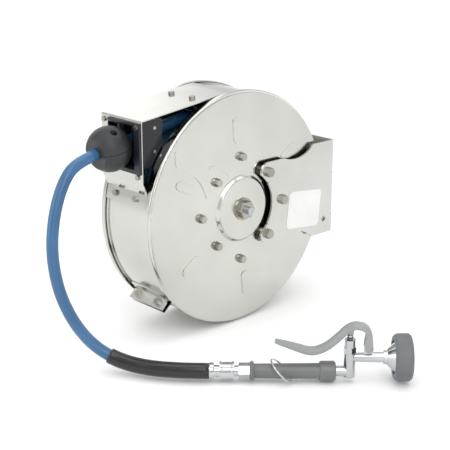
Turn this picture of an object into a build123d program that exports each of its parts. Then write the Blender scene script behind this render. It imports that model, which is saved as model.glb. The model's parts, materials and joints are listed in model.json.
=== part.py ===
"""Enclosed spring-rewind hose reel with a squeeze spray valve. Millimetres, +Z up.

The origin is the middle of the bracket's wall face, the wall is at X = 0, and the reel's axle runs along Y.
The near side is -Y. Sketches that face along the axle use local x = X from the axle and local y = Z.
"""

from build123d import *
from math import acos, atan2, cos, degrees, hypot, pi, radians, sin, sqrt, tan
import os

os.makedirs("parts", exist_ok=True)

# Overall sizes
disc_radius = 175.0
reel_width = 110.0  # over the flat faces of the two side discs
wall_gap = 18.0  # from the discs' rims to the wall
sheet = 1.5  # pressed sheet of discs, band and outlet guard
hose_radius = 8.25
fit = 0.05  # radial clearance of running fits
seat = 0.02  # radial clearance of fixed fits

# Side discs
lip_depth = 10.0
lip_bend = 4.0
hub_radius = 48.0
hub_height = 5.0
press_bend = 2.0
rib_count = 6
rib_start = 34.5
rib_length = 38.0
rib_width = 14.0
rib_radius = 119.0
rib_height = 1.2
swirl_width = 4.0
swirl_height = 0.8
cross_bolt_radius = 78.5  # bolts at 0, 90, 180 and 270 degrees
corner_bolt_radius = 68.0  # bolts at 45, 135, 225 and 315 degrees
bolt_radius = 4.0
bolt_hole_radius = 4.3
bolt_head_height = 6.0
bolt_flange_radius = 7.0
bolt_flange_height = 1.5
disc_bolt_flats = 10.0
arm_bolt_flats = 13.0
spacer_radius = 8.0

# Bracket
arm_thickness = 3.0
arm_spacer_length = 6.0
bracket_half_height = 74.0
arm_neck_half_height = 63.0
arm_inner_radius = 56.5
arm_lobe_radius = 15.0
scallop_radius = 58.0
scallop_x = 105.0
scallop_z = 116.0
fold_outer = 5.0
slot_length = 20.0
slot_half_width = 4.5
slot_pitch_y = 70.0
slot_pitch_z = 110.0
notch_heights = (26.0, -42.0)
arm_hole_radius = 4.5
arm_hole_from_wall = 22.0
arm_hole_height = -50.0
notch_depth = 6.0
notch_width = 8.0

# Drum band and outlet guard
band_radius = 171.0
band_overlap = 3.5  # how far the band reaches under the discs' lips
bead_height = 1.7
bead_width = 4.0
bead_gap = 1.0
window_start = 116.0
window_end = 158.0
window_half_width = 36.0
guard_clearance = 0.2
front_x = -175.5
corner_z = 154.5
guard_bend = 3.0
tab_top_z = 66.0
tab_touch_angle = 163.5
tab_end_angle = 170.0
guard_top_angle = 92.0
guard_side_gap = 1.0
guard_bolt_radius = 2.5
guard_bolt_flats = 8.0
guard_bolt_head = 3.5
guard_bolt_ys = (-21.0, 24.0)
guard_bolt_shift = 43.4  # along the guard's straight top from where it leaves the band
guard_bolt_tab_angle = 166.5
guard_nut_gap = 1.4
guard_nut_height = 3.5

# Band clamp
clamp_angle = -136.0
clamp_half_gap = 3.0
clamp_sheet = 2.0
clamp_upstand = 17.0
clamp_foot = 14.0
clamp_half_length = 37.0
clamp_bolt_radius = 3.0
clamp_bolt_pitch = 44.0
clamp_bolt_height = 10.0
clamp_bolt_flats = 10.0
clamp_head_height = 4.0
clamp_nut_height = 5.0

# Axle and inlet
axle_radius = 10.0
axle_thread_radius = 8.0
axle_stub_radius = 6.0
axle_bore_radius = 4.5
washer_radius = 17.0
washer_thickness = 2.0
nut_across_flats = 24.0
nut_height = 8.0
stub_length = 7.0
hub_plate_radius = 90.0
hub_plate_thickness = 3.0
inlet_thread_radius = 9.3
inlet_thread_length = 15.0
inlet_body_radius = 14.0
inlet_drop = 34.0
inlet_flats = 32.0
inlet_hex_height = 12.0
elbow_socket = 10.0

# Spool
flange_radius = 158.0
flange_thickness = 2.0
spool_half_width = 36.0
hub_drum_radius = 75.5
hub_drum_wall = 3.5
coil_radius = 137.0
coil_clearance = 0.5
coil_half_width = 35.0
coil_shoulder = 6.0
bush_radius = 14.0
bush_length = 6.0
bush_end = 40.0
canister_radius = 68.0
canister_start, canister_end = -34.5, 2.0
canister_mouth = 16.0
arbor_radius = 22.0
arbor_start, arbor_end = -33.5, -1.0
spring_start, spring_end = -32.0, -2.0
spring_turns = 9
spring_thickness = 1.0
swivel_radius = 26.0
swivel_length = 24.0
swivel_start = 6.0
port_radius = 4.0
axle_port_radius = 3.0
groove_depth = 4.0
groove_width = 6.0
seal_radius = 1.5
seal_offset = 8.0
outlet_radius = 7.0
outlet_angle = 35.0
tooth_count = 12
ratchet_root = 52.0
ratchet_tip = 58.0
ratchet_bore = 40.0
ratchet_thickness = 3.5
pawl_x, pawl_z = 30.0, -68.0
pawl_nose_angle = -33.0
pawl_lift = 1.0
pawl_boss = 7.0
pawl_gap = 0.8
pawl_thickness = 3.2
pawl_pin_radius = 3.0
pawl_shoulder_radius = 5.0
pawl_spring_radius = 6.2
pawl_spring_wire = 0.5

# Roller guide
guide_z = 118.0
guide_half_outer = 33.0
guide_half_inner = 30.0
guide_depth = 44.0
guide_flange = 3.0
guide_flange_half = 41.0
guide_flange_bottom = 70.0
guide_flange_top = 150.5
guide_screw_spots = ((-38, 146), (-34, 75), (38, 75), (38, 146))  # y and z
guide_screw_radius = 2.0
guide_screw_head = 3.8
guide_screw_head_height = 2.2
bezel_near, bezel_far = -43.0, 26.0
bezel_bottom, bezel_top = 80.0, 151.0
bezel_z = 116.5
bezel_thickness = 3.5
bezel_half_open = 28.0
bezel_chamfer = 3.0
roller_radius = 8.0
roller_length = 56.0
roller_chamfer = 1.0
roller_pin_radius = 2.5
roller_play = 0.5  # between the hose and each roller
vertical_roller_depth = 15.5
horizontal_roller_depth = 32.5

# Ball stop
ball_radius = 32.0
ball_ahead = 21.5  # ball centre in front of the outlet guard's face
ball_z = 113.0
ball_flat = 24.0
ball_seam = 0.6
ball_screw_offset = 17.0
ball_screw_radius = 2.0
ball_recess_radius = 4.6
ball_recess_floor = 12.0
ball_socket_flats = 4.0
hose_lead_in = 33.0  # straight hose in front of the ball before it starts to fall

# Spray valve, measured along its own axis from the end of the sleeve
sleeve_radius = 10.75
valve_x, valve_y, valve_z = -179.4, -182.2, -162.4  # from the axle
valve_heading = -42.9
valve_lead = 54.0  # straight hose in line with the valve
valve_bore = 4.0
ferrule_end = 6.7
stem_spigot = 6.0
neck_radius = 8.0
flange_start, flange_end = 19.0, 23.0
stem_flange = 9.6
nut_start, valve_nut_end = 14.0, 33.5
nut_radius = 12.9
inlet_neck_radius = 7.5
coupling_start, coupling_end = 39.5, 54.3
coupling_flats = 19.5
tube_radius = 6.4
grip_end = 147.4
grip_radius = 10.7
grip_flange_radius = 13.4
collar_radius = 13.7
body_start = 169.0
body_radius = 7.7
run_radius = 7.2  # of the pipe between collar and body
passage = 3.5
outlet_radius_near, outlet_radius_far = 6.0, 7.3
stem_s = 187.5
stem_radius = 3.0
stem_bottom = 14.0
bonnet_bottom, bonnet_top = 27.0, 46.0
bonnet_radius = 7.4
bonnet_hex_height = 8.0
cap_bottom, cap_top = 50.0, 53.0
cap_radius = 4.0
cap_round = 2.0
valve_spring_radius = 3.9
valve_spring_wire = 0.4
pivot_s, pivot_h = 212.3, 34.3
pivot_radius = 2.5
outlet_h = 20.0
outlet_end = 232.5
lever_thickness = 9.0
lever_half_width = 8.0
lever_pad = 6.0  # boss that presses the stem
lever_gap = 0.6
lever_slot_half = 4.0
lug_half_width = 3.5
lug_radius = 6.0
ring_s = 97.7
ring_radius = 20.5
ring_wire = 1.3
ring_tilt = 45.0
ring_pin_end = 8.5
bumper_start, bumper_end = 246.0, 270.0
head_end = 262.0
rim_wall = 2.5
nozzle_radius = 1.5
nozzle_ring_radius = 11.0
nozzle_count = 10
bumper_radius = 32.0
rim_radius = 23.0

# Worked out from the sizes above
half_width = reel_width / 2
axle_x = -(wall_gap + disc_radius)
axle_axis = Axis((axle_x, 0, 0), (0, 1, 0))
section = Plane((axle_x, 0, 0), x_dir=(1, 0, 0), z_dir=(0, 0, 1))  # local x = radius, local y = along the axle
hub_face = half_width + hub_height
arm_inner = half_width + arm_spacer_length
arm_outer = arm_inner + arm_thickness
plate_outer = half_width - sheet
plate_inner = plate_outer - hub_plate_thickness
guard_radius = band_radius + bead_height + guard_clearance + sheet
guard_half_width = half_width - lip_depth - guard_side_gap
nut_end = hub_face + washer_thickness + nut_height
swivel_middle = swivel_start + swivel_length / 2
coil_inner = hub_drum_radius + coil_clearance
lead_radius = coil_radius + coil_clearance + hose_radius  # from the axle to the middle of the outgoing hose
ball_x = front_x - ball_ahead
lead_angle = degrees(atan2(ball_z, ball_x) - acos(lead_radius / hypot(ball_x, ball_z)))
lead_start = Vector(axle_x + lead_radius * cos(radians(lead_angle)), 0, lead_radius * sin(radians(lead_angle)))
lead_way = Vector(-sin(radians(lead_angle)), 0, cos(radians(lead_angle)))
ball_centre = Vector(axle_x + ball_x, 0, ball_z)
hose_exit = ball_centre + lead_way * ball_flat
valve_way = Vector(cos(radians(valve_heading)), sin(radians(valve_heading)), 0)
valve_side = Vector(valve_way.Y, -valve_way.X, 0)
valve_start = Vector(axle_x + valve_x, valve_y, valve_z)
valve_plane = Plane(valve_start, x_dir=valve_way, z_dir=valve_side)
top_touch_angle = degrees(atan2(corner_z, front_x) - acos(guard_radius / hypot(front_x, corner_z)))


def across(y, angle=0.0):
    """Plane square to the axle at y, facing -Y, with local x = X and local y = Z before it is turned by angle."""
    return Plane((axle_x, y, 0), x_dir=(cos(radians(angle)), 0, sin(radians(angle))), z_dir=(0, -1, 0))


def polar(radius, angle):
    """Local point of a plane from across()."""
    return (radius * cos(radians(angle)), radius * sin(radians(angle)))


def facing(x):
    """Plane square to X at x from the axle, facing the wall, with local x = Y and local y = Z."""
    return Plane((axle_x + x, 0, 0), x_dir=(0, 1, 0), z_dir=(1, 0, 0))


def around(radius, angle, shift, y):
    """Plane facing away from the axle at this angle, moved sideways by shift, with local x = Y."""
    out = Vector(cos(radians(angle)), 0, sin(radians(angle)))
    aside = Vector(-out.Z, 0, out.X)
    return Plane(Vector(axle_x, y, 0) + out * radius + aside * shift, x_dir=(0, 1, 0), z_dir=out)


def along_valve(s):
    """Plane square to the valve's axis at s, facing the spray head, with local y = Z."""
    return Plane(valve_start + valve_way * s, x_dir=Vector(0, 0, 1).cross(valve_way) * -1, z_dir=valve_way)


def turned(points, height=0.0):
    """A solid of revolution about the valve's axis, or about a line above it; points are (along, radius)."""
    with BuildPart() as solid:
        with BuildSketch(Plane(valve_start + Vector(0, 0, height), x_dir=valve_way, z_dir=valve_side)):
            with BuildLine():
                Polyline(*points, close=True)
            make_face()
        revolve(axis=Axis(valve_start + Vector(0, 0, height), valve_way))
    return solid.part


def upright(s, h_bottom, h_top, radius):
    """A cylinder standing on the valve's axis at s."""
    with BuildPart() as solid:
        with BuildSketch(Plane(valve_start + valve_way * s + Vector(0, 0, h_bottom))):
            Circle(radius)
        extrude(amount=h_top - h_bottom)
    return solid.part


def corner_radii(points):
    """Bend radii that use nine tenths of each run's half, for a path through these corners."""
    radii = []
    for before, corner, after in zip(points, points[1:], points[2:]):
        turn = degrees(acos((corner - before).normalized().dot((after - corner).normalized())))
        run = min((corner - before).length, (after - corner).length)
        radii.append(0.45 * run / tan(radians(turn / 2)))
    return radii


def save(builder, name):
    """Labels a finished piece and writes it."""
    builder.part.label = name
    export_step(builder.part, f"parts/{name}.step")


clamp_middle = Plane((axle_x, 0, 0), x_dir=across(0, clamp_angle).x_dir, z_dir=across(0, clamp_angle).y_dir)
clamp_bolt_spots = [(band_radius + clamp_bolt_height, y) for y in (-clamp_bolt_pitch / 2, clamp_bolt_pitch / 2)]
clamp_grip = clamp_half_gap + clamp_sheet
guard_bolt_spots = ((top_touch_angle, guard_bolt_shift), (guard_bolt_tab_angle, 0))
disc_bolt_points = [polar(cross_bolt_radius, a) for a in (90, 180, 270)]
disc_bolt_points += [polar(corner_bolt_radius, a) for a in (135, 225)]
arm_bolt_points = [polar(corner_bolt_radius, -45), polar(cross_bolt_radius, 0), polar(corner_bolt_radius, 45)]

# Side discs: shallow pans with a raised hub, bolt holes and pressed ribs
with BuildPart() as pressed_disc:
    with BuildSketch(section):
        with BuildLine():
            skin = FilletPolyline(
                (axle_thread_radius + 1, -hub_face),
                (hub_radius - press_bend, -hub_face),
                (hub_radius + press_bend, -half_width),
                (disc_radius, -half_width),
                (disc_radius, -half_width + lip_depth),
                radius=[press_bend, press_bend, lip_bend],
            )
            offset(skin, amount=sheet, side=Side.LEFT)
        make_face()
    revolve(axis=axle_axis)
    with BuildSketch(across(-half_width)):
        with PolarLocations(rib_radius, rib_count, start_angle=rib_start):
            SlotOverall(rib_length, rib_width)
    extrude(amount=rib_height, taper=20)
    with BuildSketch(across(-half_width)):
        with PolarLocations(cross_bolt_radius, 4):
            Circle(bolt_hole_radius)
        with PolarLocations(corner_bolt_radius, 4, start_angle=45):
            Circle(bolt_hole_radius)
    extrude(amount=-sheet, mode=Mode.SUBTRACT)

with BuildPart() as near_side_disc:
    add(pressed_disc.part)
    with BuildSketch(across(-half_width)):
        with BuildLine():
            FilletPolyline((-124, 106), (-124, 86), (-106, 76), radius=6)
        trace(line_width=swirl_width)
        with BuildLine():
            ThreePointArc((-106, 76), (-82, 58), (-67, 28))
        trace(line_width=swirl_width)
        with BuildLine():
            ThreePointArc((-62, 72), (-38, 66), (-22, 53))
        trace(line_width=swirl_width)
    extrude(amount=swirl_height)
save(near_side_disc, "near_side_disc")

with BuildPart() as far_side_disc:
    add(mirror(pressed_disc.part, Plane.XZ))
save(far_side_disc, "far_side_disc")

# Drum band with two edge beads, the outlet window and the clamp gap
band_end = half_width - lip_depth + band_overlap
bead_edge = half_width - lip_depth - bead_gap
with BuildPart() as drum_band:
    with BuildSketch(section):
        with Locations((band_radius - sheet / 2, 0)):
            Rectangle(sheet, 2 * band_end)
        with Locations((band_radius + bead_height / 2, 0)):
            with Locations((0, bead_edge - bead_width / 2), (0, bead_width / 2 - bead_edge)):
                Rectangle(bead_height, bead_width)
    revolve(axis=axle_axis)
    with BuildSketch(across(window_half_width)):
        with BuildLine():
            Polyline((0, 0), polar(1.2 * band_radius, window_start), polar(1.2 * band_radius, window_end), close=True)
        make_face()
    extrude(amount=2 * window_half_width, mode=Mode.SUBTRACT)
    with BuildSketch(across(half_width, clamp_angle)):
        with Locations((band_radius, 0)):
            Rectangle(4 * clamp_sheet, 2 * clamp_half_gap)
    extrude(amount=reel_width, mode=Mode.SUBTRACT)
    for angle, shift in guard_bolt_spots:
        for y in guard_bolt_ys:
            with BuildSketch(around(guard_radius, angle, shift, y)):
                Circle(guard_bolt_radius + fit)
            extrude(amount=-guard_radius / 2, mode=Mode.SUBTRACT)
save(drum_band, "drum_band")

# Outlet guard: one bent sheet from the band's top, over the outlet and down the front
with BuildPart() as outlet_guard:
    with BuildSketch(across(guard_half_width)):
        with BuildLine() as guard_skin:
            CenterArc((0, 0), guard_radius, guard_top_angle, top_touch_angle - guard_top_angle)
            FilletPolyline(
                polar(guard_radius, top_touch_angle),
                (front_x, corner_z),
                (front_x, tab_top_z),
                polar(guard_radius, tab_touch_angle),
                radius=guard_bend,
            )
            CenterArc((0, 0), guard_radius, tab_touch_angle, tab_end_angle - tab_touch_angle)
            offset(amount=sheet, side=Side.LEFT)
        make_face()
    extrude(amount=2 * guard_half_width)
    with BuildSketch(facing(front_x)):
        with Locations((0, guide_z)):
            Rectangle(2 * guide_half_inner, 2 * guide_half_inner)
        with Locations(guide_screw_spots):
            Circle(guide_screw_radius + fit)
    extrude(amount=sheet, mode=Mode.SUBTRACT)
    for angle, shift in guard_bolt_spots:
        for y in guard_bolt_ys:
            with BuildSketch(around(guard_radius, angle, shift, y)):
                Circle(guard_bolt_radius + fit)
            extrude(amount=-2 * sheet, mode=Mode.SUBTRACT)
save(outlet_guard, "outlet_guard")

# Guard bolts, with nuts inside the band
with BuildPart() as guard_bolts:
    for angle, shift in guard_bolt_spots:
        nut_depth = guard_radius - sqrt((band_radius - sheet) ** 2 - shift**2) + guard_nut_gap
        for y in guard_bolt_ys:
            with BuildSketch(around(guard_radius, angle, shift, y)):
                RegularPolygon(guard_bolt_flats / 2, 6, major_radius=False)
            extrude(amount=guard_bolt_head)
            with BuildSketch(around(guard_radius, angle, shift, y)):
                Circle(guard_bolt_radius)
            extrude(amount=-nut_depth - guard_nut_height)
            with BuildSketch(around(guard_radius - nut_depth, angle, shift, y)):
                RegularPolygon(guard_bolt_flats / 2, 6, major_radius=False)
                Circle(guard_bolt_radius + seat, mode=Mode.SUBTRACT)
            extrude(amount=-guard_nut_height)
save(guard_bolts, "guard_bolts")

# Band clamp: two angles that pull the band's ends together
with BuildPart() as clamp_angles:
    with BuildSketch(across(clamp_half_length, clamp_angle)):
        Circle(band_radius + clamp_sheet + seat)
        Circle(band_radius + seat, mode=Mode.SUBTRACT)
        with Locations((band_radius, clamp_half_gap + clamp_foot / 2)):
            Rectangle(4 * clamp_sheet, clamp_foot, mode=Mode.INTERSECT)
        with Locations((band_radius + clamp_sheet, clamp_half_gap)):
            Rectangle(clamp_upstand, clamp_sheet, align=Align.MIN)
    extrude(amount=2 * clamp_half_length)
    with BuildSketch(clamp_middle):
        with Locations(clamp_bolt_spots):
            Circle(clamp_bolt_radius + 10 * seat)
    extrude(amount=clamp_foot, mode=Mode.SUBTRACT)
    mirror(about=clamp_middle)
save(clamp_angles, "clamp_angles")

with BuildPart() as clamp_bolts:
    with BuildSketch(clamp_middle.offset(-clamp_grip - clamp_nut_height)):
        with Locations(clamp_bolt_spots):
            Circle(clamp_bolt_radius)
    extrude(amount=2 * clamp_grip + clamp_nut_height)
    with BuildSketch(clamp_middle.offset(clamp_grip)):
        with Locations(clamp_bolt_spots):
            RegularPolygon(clamp_bolt_flats / 2, 6, major_radius=False)
    extrude(amount=clamp_head_height)
    with BuildSketch(clamp_middle.offset(-clamp_grip)):
        with Locations(clamp_bolt_spots):
            RegularPolygon(clamp_bolt_flats / 2, 6, major_radius=False)
            Circle(clamp_bolt_radius + seat, mode=Mode.SUBTRACT)
    extrude(amount=-clamp_nut_height)
save(clamp_bolts, "clamp_bolts")

# Hub plates behind the discs, with the bolts that hold the discs and the bracket's arms to them
with BuildPart() as hub_plates:
    for y in (-plate_inner, plate_outer):
        with BuildSketch(across(y)):
            Circle(hub_plate_radius)
            Circle(axle_thread_radius + seat, mode=Mode.SUBTRACT)
            with Locations(disc_bolt_points + arm_bolt_points):
                Circle(bolt_radius + seat, mode=Mode.SUBTRACT)
        extrude(amount=hub_plate_thickness)
save(hub_plates, "hub_plates")

with BuildPart() as disc_bolts:
    with BuildSketch(across(-plate_inner)):
        with Locations(disc_bolt_points):
            Circle(bolt_radius)
    extrude(amount=half_width - plate_inner)
    with BuildSketch(across(-half_width)):
        with Locations(disc_bolt_points):
            Circle(bolt_flange_radius)
    extrude(amount=bolt_flange_height)
    with BuildSketch(across(-half_width - bolt_flange_height)):
        with Locations(disc_bolt_points):
            RegularPolygon(disc_bolt_flats / 2, 6, major_radius=False)
    extrude(amount=bolt_head_height)
    mirror(about=Plane.XZ)
save(disc_bolts, "disc_bolts")

with BuildPart() as arm_bolts:
    with BuildSketch(across(-plate_inner)):
        with Locations(arm_bolt_points):
            Circle(bolt_radius)
    extrude(amount=arm_outer - plate_inner)
    with BuildSketch(across(-arm_outer)):
        with Locations(arm_bolt_points):
            RegularPolygon(arm_bolt_flats / 2, 6, major_radius=False)
    extrude(amount=bolt_head_height)
    mirror(about=Plane.XZ)
save(arm_bolts, "arm_bolts")

with BuildPart() as arm_spacers:
    with BuildSketch(across(-half_width)):
        with Locations(arm_bolt_points):
            Circle(spacer_radius)
            Circle(bolt_hole_radius, mode=Mode.SUBTRACT)
    extrude(amount=arm_spacer_length)
    mirror(about=Plane.XZ)
save(arm_spacers, "arm_spacers")

# Wall bracket: a folded channel whose arms are cut to shape from the side
with BuildPart() as mounting_bracket:
    with BuildSketch(Plane.XY.offset(-bracket_half_height)):
        with BuildLine():
            channel = FilletPolyline(
                (axle_x, -arm_outer),
                (0, -arm_outer),
                (0, arm_outer),
                (axle_x, arm_outer),
                radius=fold_outer,
            )
            offset(channel, amount=arm_thickness, side=Side.LEFT)
        make_face()
    extrude(amount=2 * bracket_half_height)
    with BuildSketch(across(arm_outer)):
        with Locations((-axle_x / 2, 0)):
            Rectangle(-axle_x, 2 * bracket_half_height)
        with Locations((scallop_x - scallop_radius, bracket_half_height), (scallop_x - scallop_radius, -bracket_half_height)):
            Rectangle(2 * scallop_radius, 2 * (bracket_half_height - arm_neck_half_height), mode=Mode.SUBTRACT)
        with Locations((scallop_x, scallop_z), (scallop_x, -scallop_z)):
            Circle(scallop_radius, mode=Mode.SUBTRACT)
        with Locations((arm_bolt_points[0][0] / 2 - arm_lobe_radius / 2, 0)):
            Rectangle(arm_bolt_points[0][0] + arm_lobe_radius, 2 * bracket_half_height, mode=Mode.SUBTRACT)
        with Locations(arm_bolt_points):
            Circle(arm_lobe_radius)
        Circle(arm_inner_radius, mode=Mode.SUBTRACT)
    extrude(amount=2 * arm_outer, mode=Mode.INTERSECT)
    with BuildSketch(across(arm_outer)):
        with Locations(arm_bolt_points):
            Circle(bolt_hole_radius)
        with Locations((-axle_x - arm_hole_from_wall, arm_hole_height)):
            Circle(arm_hole_radius)
        with Locations([(-axle_x, z) for z in notch_heights]):
            Rectangle(2 * notch_depth, notch_width)
    extrude(amount=arm_outer - arm_inner, mode=Mode.SUBTRACT)
    with BuildSketch(across(-arm_inner)):
        with Locations(arm_bolt_points):
            Circle(bolt_hole_radius)
        with Locations((-axle_x - arm_hole_from_wall, arm_hole_height)):
            Circle(arm_hole_radius)
        with Locations([(-axle_x, z) for z in notch_heights]):
            Rectangle(2 * notch_depth, notch_width)
    extrude(amount=arm_outer - arm_inner, mode=Mode.SUBTRACT)
    with BuildSketch(Plane.YZ):
        with GridLocations(slot_pitch_y, slot_pitch_z, 2, 2):
            SlotOverall(slot_length, 2 * slot_half_width)
    extrude(amount=-arm_thickness, mode=Mode.SUBTRACT)
save(mounting_bracket, "mounting_bracket")

# Axle, its nuts and the inlet elbow
with BuildPart() as axle:
    with BuildSketch(section):
        with BuildLine():
            Polyline(
                (0, -nut_end - stub_length),
                (axle_stub_radius, -nut_end - stub_length),
                (axle_stub_radius, -nut_end),
                (axle_thread_radius, -nut_end),
                (axle_thread_radius, -plate_inner),
                (axle_radius, -plate_inner),
                (axle_radius, plate_inner),
                (axle_thread_radius, plate_inner),
                (axle_thread_radius, nut_end + elbow_socket),
                (axle_bore_radius, nut_end + elbow_socket),
                (axle_bore_radius, swivel_middle - groove_width),
                (0, swivel_middle - groove_width),
                close=True,
            )
        make_face()
    revolve(axis=axle_axis)
    with BuildSketch(Plane((axle_x, swivel_middle, 0))):
        Circle(axle_port_radius)
    extrude(amount=axle_radius, both=True, mode=Mode.SUBTRACT)
save(axle, "axle")

with BuildPart() as axle_nuts:
    with BuildSketch(across(-hub_face)):
        Circle(washer_radius)
        Circle(axle_thread_radius + seat, mode=Mode.SUBTRACT)
    extrude(amount=washer_thickness)
    with BuildSketch(across(-hub_face - washer_thickness)):
        RegularPolygon(nut_across_flats / 2, 6, major_radius=False)
        Circle(axle_thread_radius + seat, mode=Mode.SUBTRACT)
    extrude(amount=nut_height)
    mirror(about=Plane.XZ)
save(axle_nuts, "axle_nuts")

elbow_y = nut_end + inlet_body_radius
with BuildPart() as inlet_elbow:
    with BuildSketch(across(elbow_y)):
        Circle(inlet_body_radius)
    extrude(amount=inlet_body_radius)
    with Locations((axle_x, elbow_y, 0)):
        Sphere(inlet_body_radius)
    with BuildSketch(Plane((axle_x, elbow_y, -inlet_drop))):
        Circle(inlet_body_radius)
    extrude(amount=inlet_drop)
    with BuildSketch(Plane((axle_x, elbow_y, -inlet_drop))):
        RegularPolygon(inlet_flats / 2, 6, major_radius=False)
    extrude(amount=inlet_hex_height)
    with BuildSketch(across(elbow_y)):
        Circle(axle_bore_radius)
    extrude(amount=inlet_body_radius, mode=Mode.SUBTRACT)
    with BuildSketch(across(nut_end + elbow_socket)):
        Circle(axle_thread_radius + seat)
    extrude(amount=elbow_socket, mode=Mode.SUBTRACT)
    with BuildSketch(Plane((axle_x, elbow_y, -inlet_drop))):
        Circle(axle_bore_radius)
    extrude(amount=inlet_drop, mode=Mode.SUBTRACT)
    with BuildSketch(Plane((axle_x, elbow_y, -inlet_drop))):
        Circle(inlet_thread_radius)
    extrude(amount=inlet_thread_length, mode=Mode.SUBTRACT)
save(inlet_elbow, "inlet_elbow")

# Spool: drum, flanges, bushes and the swivel that takes water from the axle
outlet_way = Plane(
    (axle_x, swivel_middle, 0),
    x_dir=(0, 1, 0),
    z_dir=(cos(radians(outlet_angle)), 0, sin(radians(outlet_angle))),
)
with BuildPart() as spool_hub:
    with BuildSketch(across(spool_half_width)):
        Circle(hub_drum_radius)
        Circle(hub_drum_radius - hub_drum_wall, mode=Mode.SUBTRACT)
    extrude(amount=2 * spool_half_width)
    with BuildSketch(outlet_way):
        Circle(outlet_radius + seat)
    extrude(amount=hub_drum_radius + 1, mode=Mode.SUBTRACT)
save(spool_hub, "spool_hub")

with BuildPart() as spool_flange_near:
    with BuildSketch(across(-spool_half_width)):
        Circle(flange_radius)
        Circle(bush_radius + seat, mode=Mode.SUBTRACT)
    extrude(amount=flange_thickness)
save(spool_flange_near, "spool_flange_near")

with BuildPart() as spool_flange_far:
    add(mirror(spool_flange_near.part, Plane.XZ))
save(spool_flange_far, "spool_flange_far")

with BuildPart() as axle_bushes:
    with BuildSketch(across(bush_length - bush_end)):
        Circle(bush_radius)
        Circle(axle_radius + fit, mode=Mode.SUBTRACT)
    extrude(amount=bush_length)
    mirror(about=Plane.XZ)
save(axle_bushes, "axle_bushes")

with BuildPart() as swivel_body:
    with BuildSketch(section):
        with Locations((axle_radius + fit, swivel_start)):
            Rectangle(swivel_radius - axle_radius - fit, swivel_length, align=Align.MIN)
        with Locations((axle_radius + fit, swivel_middle)):
            Rectangle(2 * groove_depth, groove_width, mode=Mode.SUBTRACT)
            with Locations((0, -seal_offset), (0, seal_offset)):
                Rectangle(4 * seal_radius + 2 * fit, 2 * seal_radius + 2 * fit, mode=Mode.SUBTRACT)
    revolve(axis=axle_axis)
    with BuildSketch(outlet_way):
        Circle(port_radius)
    extrude(amount=swivel_radius, mode=Mode.SUBTRACT)
save(swivel_body, "swivel_body")

with BuildPart() as swivel_seals:
    with BuildSketch(section):
        with Locations((axle_radius + fit + seal_radius, swivel_middle)):
            with Locations((0, -seal_offset), (0, seal_offset)):
                Circle(seal_radius)
    revolve(axis=axle_axis)
save(swivel_seals, "swivel_seals")

with BuildPart() as outlet_pipe:
    with BuildSketch(outlet_way.offset(swivel_radius)):
        Circle(outlet_radius)
        Circle(port_radius, mode=Mode.SUBTRACT)
    extrude(amount=hub_drum_radius - swivel_radius)
save(outlet_pipe, "outlet_pipe")

# The hose wound on the spool, as one body of the coil's outer shape
with BuildPart() as hose_wound:
    with BuildSketch(section):
        with Locations((coil_inner, 0)):
            Rectangle(coil_radius - coil_inner, 2 * coil_half_width, align=(Align.MIN, Align.CENTER))
        fillet(vertices().group_by(Axis.X)[-1], radius=coil_shoulder)
    revolve(axis=axle_axis)
save(hose_wound, "hose_wound")

# Rewind spring in its canister
with BuildPart() as spring_canister:
    with BuildSketch(section):
        with BuildLine():
            Polyline(
                (canister_mouth, canister_end),
                (canister_radius, canister_end),
                (canister_radius, canister_start),
                (canister_radius - sheet, canister_start),
                (canister_radius - sheet, canister_end - sheet),
                (canister_mouth, canister_end - sheet),
                close=True,
            )
        make_face()
    revolve(axis=axle_axis)
save(spring_canister, "spring_canister")

with BuildPart() as canister_cover:
    with BuildSketch(across(canister_start)):
        Circle(canister_radius + sheet)
        Circle(canister_mouth, mode=Mode.SUBTRACT)
    extrude(amount=spool_half_width + canister_start)
save(canister_cover, "canister_cover")

with BuildPart() as spring_arbor:
    with BuildSketch(across(arbor_end)):
        Circle(arbor_radius)
        Circle(axle_radius + seat, mode=Mode.SUBTRACT)
    extrude(amount=arbor_end - arbor_start)
save(spring_arbor, "spring_arbor")

spring_first = arbor_radius + seat
spring_step = (canister_radius - 2 * sheet - spring_thickness - spring_first) / (2 * spring_turns)
with BuildPart() as power_spring:
    with BuildSketch(across(spring_end)):
        with BuildLine() as spiral:
            for i in range(2 * spring_turns):
                CenterArc((i % 2 * spring_step, 0), spring_first + i * spring_step, 180 * (i % 2), 180)
            offset(spiral.line, amount=spring_thickness, side=Side.RIGHT)
        make_face()
    extrude(amount=spring_end - spring_start)
save(power_spring, "power_spring")

# Ratchet on the spool and the sprung pawl that drops into it
with BuildPart() as ratchet_ring:
    with BuildSketch(across(-spool_half_width - flange_thickness)):
        with BuildLine():
            teeth = []
            for tooth in range(tooth_count):
                start = 360 / tooth_count * tooth
                teeth += [polar(ratchet_tip, start), polar(ratchet_root, start + 360 / tooth_count)]
            Polyline(*teeth, close=True)
        make_face()
        Circle(ratchet_bore, mode=Mode.SUBTRACT)
    extrude(amount=ratchet_thickness)
save(ratchet_ring, "ratchet_ring")

pawl_face = -spool_half_width - flange_thickness - pawl_gap
pawl_pivot = Vector(pawl_x, pawl_z)
pawl_nose = Vector(*polar(ratchet_tip + pawl_lift, pawl_nose_angle))
pawl_aside = (pawl_nose - pawl_pivot).normalized().rotate(Axis.Z, -90) * pawl_boss
with BuildPart() as pawl:
    with BuildSketch(across(pawl_face)):
        with Locations(pawl_pivot):
            Circle(pawl_boss)
        with BuildLine():
            Polyline(pawl_pivot - pawl_aside, pawl_nose, pawl_nose + pawl_aside * 0.7, pawl_pivot + pawl_aside, close=True)
        make_face()
        with Locations(pawl_pivot):
            Circle(pawl_pin_radius + fit, mode=Mode.SUBTRACT)
    extrude(amount=pawl_thickness)
save(pawl, "pawl")

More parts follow.
